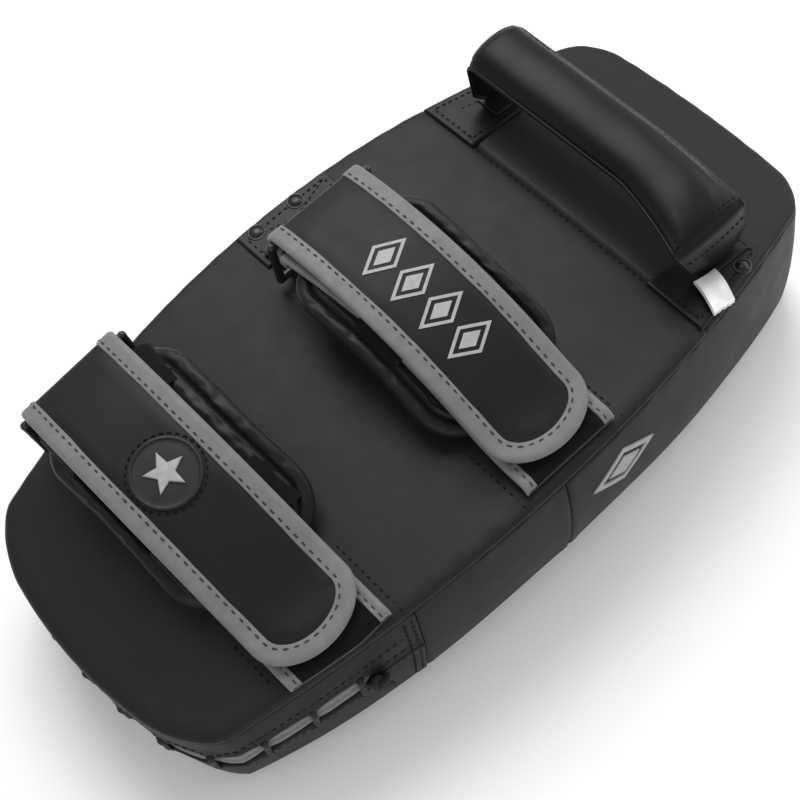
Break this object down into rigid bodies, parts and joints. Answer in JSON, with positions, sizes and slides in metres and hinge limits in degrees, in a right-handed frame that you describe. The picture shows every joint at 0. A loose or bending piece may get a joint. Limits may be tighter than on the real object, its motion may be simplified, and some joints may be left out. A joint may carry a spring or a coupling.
{
  "type": "thai pad",
  "caption": "Curved rectangular kick-shield pad with forearm straps over cushions, a padded grip handle and a laced end closure.",
  "frame": {"origin": "centre of the pad's plan on the surface it lies on, strike face down", "axes": "+Y along the pad towards the handle end, +Z out of the arm side, +X towards the side seam where the forearm straps are sewn in"},
  "size_m": [0.2056, 0.3905, 0.1278],
  "materials": {
    "cover_leather": "satin",
    "strike_leather": "satin",
    "strap_leather": "matte",
    "handle_leather": "satin",
    "cushion_leather": "satin",
    "patch_leather": "satin",
    "binding_grey": "matte",
    "webbing_black": "matte",
    "loop_pile": "matte",
    "hook_tape": "matte",
    "tongue_fabric": "matte",
    "lace_fabric": "matte",
    "foam": "matte",
    "strike_foam": "matte",
    "ring_metal": "satin",
    "rivet_metal": "satin",
    "badge_rubber": "matte",
    "label_satin": "matte"
  },
  "bodies": {
    "pad": {"strike_panel": "strike_leather", "back_panel_main": "cover_leather", "back_panel_top": "cover_leather", "gusset_right": "cover_leather", "gusset_left": "cover_leather", "gusset_top": "cover_leather", "lace_flap_back": "cover_leather", "lace_flap_strike": "cover_leather", "lace_tongue": "tongue_fabric", "lace_cord": "lace_fabric", "lace_knot": "lace_fabric", "foam_back": "foam", "foam_core": "foam", "foam_strike": "strike_foam", "anchor_patch_lower": "patch_leather", "anchor_patch_upper": "patch_leather", "anchor_rivets": "rivet_metal", "ring_loop_lower": "patch_leather", "ring_loop_upper": "patch_leather", "strap_base_lower": "webbing_black", "strap_base_upper": "webbing_black", "loop_face_lower": "loop_pile", "loop_face_upper": "loop_pile", "base_binding_lower": "binding_grey", "base_binding_upper": "binding_grey", "handle_patch_left": "patch_leather", "handle_patch_right": "patch_leather", "handle_rivets": "rivet_metal", "handle_feet": "patch_leather", "wash_label": "label_satin"},
    "ring_lower": {"ring_lower": "ring_metal"},
    "flap_lower": {"flap_cover_lower": "strap_leather", "flap_binding_lower": "binding_grey", "flap_hook_lower": "hook_tape", "badge_disc": "badge_rubber"},
    "cushion_lower": {"cushion_cover_lower": "cushion_leather", "cushion_foam_lower": "foam", "cushion_keepers_lower": "loop_pile"},
    "ring_upper": {"ring_upper": "ring_metal"},
    "flap_upper": {"flap_cover_upper": "strap_leather", "flap_binding_upper": "binding_grey", "flap_hook_upper": "hook_tape"},
    "cushion_upper": {"cushion_cover_upper": "cushion_leather", "cushion_foam_upper": "foam", "cushion_keepers_upper": "loop_pile"},
    "handle": {"handle_cover": "handle_leather", "handle_foam": "foam"}
  },
  "joints": [
    {"name": "ring_lower_swing", "type": "hinge", "parent": "pad", "child": "ring_lower", "pos_m": [-0.07834, -0.1141, 0.08375], "axis": [0, -0.9895, -0.1443], "range_deg": [0, 12]},
    {"name": "flap_lower_peel", "type": "hinge", "parent": "ring_lower", "child": "flap_lower", "pos_m": [-0.07834, -0.11763, 0.10801], "axis": [0, -0.9895, -0.1443], "range_deg": [0, 160]},
    {"name": "cushion_lower_slide", "type": "hinge", "parent": "pad", "child": "cushion_lower", "pos_m": [-0.043, -0.09048, -0.07814], "axis": [0, 0.9895, 0.1443], "range_deg": [-1.3, 1.3]},
    {"name": "ring_upper_swing", "type": "hinge", "parent": "pad", "child": "ring_upper", "pos_m": [-0.06134, 0.01282, 0.09448], "axis": [0, -0.9997, -0.0232], "range_deg": [0, 12]},
    {"name": "flap_upper_peel", "type": "hinge", "parent": "ring_upper", "child": "flap_upper", "pos_m": [-0.06134, 0.01225, 0.11899], "axis": [0, -0.9997, -0.0232], "range_deg": [0, 160]},
    {"name": "cushion_upper_slide", "type": "hinge", "parent": "pad", "child": "cushion_upper", "pos_m": [-0.026, 0.01663, -0.06907], "axis": [0, 0.9997, 0.0232], "range_deg": [-1.3, 1.3]},
    {"name": "handle_tilt", "type": "hinge", "parent": "pad", "child": "handle", "pos_m": [0, 0.132, 0.08736], "axis": [1, 0, 0], "range_deg": [-12, 12], "stiffness_Nm_per_rad": 0.8}
  ]
}
